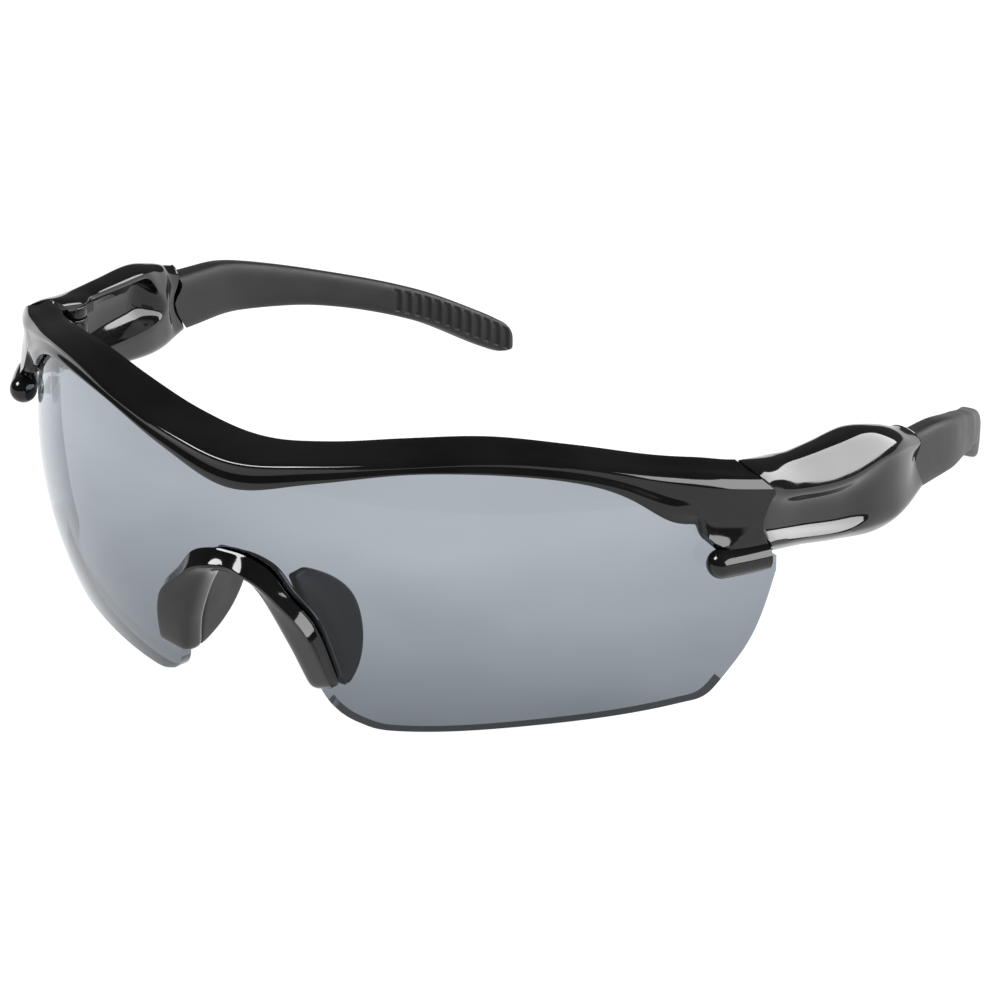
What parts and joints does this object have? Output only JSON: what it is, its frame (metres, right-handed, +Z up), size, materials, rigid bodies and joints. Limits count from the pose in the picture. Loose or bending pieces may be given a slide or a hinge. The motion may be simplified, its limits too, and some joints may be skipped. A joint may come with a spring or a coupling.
{
  "type": "safety glasses",
  "caption": "Wrap-around safety glasses: one smoke-tinted shield lens under a gloss black brow frame, saddle nose bridge with rubber wings, and folding temples with soft rubber tips.",
  "frame": {"origin": "on the surface the glasses rest on, under the middle of their overall box", "axes": "+Z up, the temples run back to +Y, the lens faces -Y, +X is the wearer's left"},
  "size_m": [0.1524, 0.1616, 0.0489],
  "materials": {
    "gloss_black": "polished injection-moulded nylon",
    "smoke_lens": "clear smoke-grey polycarbonate",
    "matte_rubber": "soft matte moulded rubber",
    "core_nylon": "plain moulded nylon",
    "pin_steel": "bright steel pin"
  },
  "bodies": {
    "front": {"brow_frame": "gloss_black", "lens": "smoke_lens", "nose_bridge": "gloss_black", "nose_pad_left": "matte_rubber", "nose_pad_right": "matte_rubber", "hinge_pin_left": "pin_steel", "hinge_pin_right": "pin_steel"},
    "left_temple": {"temple_arm_left": "gloss_black", "temple_core_left": "core_nylon", "temple_tip_left": "matte_rubber"},
    "right_temple": {"temple_arm_right": "gloss_black", "temple_core_right": "core_nylon", "temple_tip_right": "matte_rubber"}
  },
  "joints": [
    {"name": "left_temple_fold", "type": "hinge", "parent": "front", "child": "left_temple", "pos_m": [0.0662, -0.0326, 0.036], "axis": [0, 0, 1], "range_deg": [0, 90]},
    {"name": "right_temple_fold", "type": "hinge", "parent": "front", "child": "right_temple", "pos_m": [-0.0662, -0.0326, 0.036], "axis": [0, 0, -1], "range_deg": [0, 80]}
  ]
}
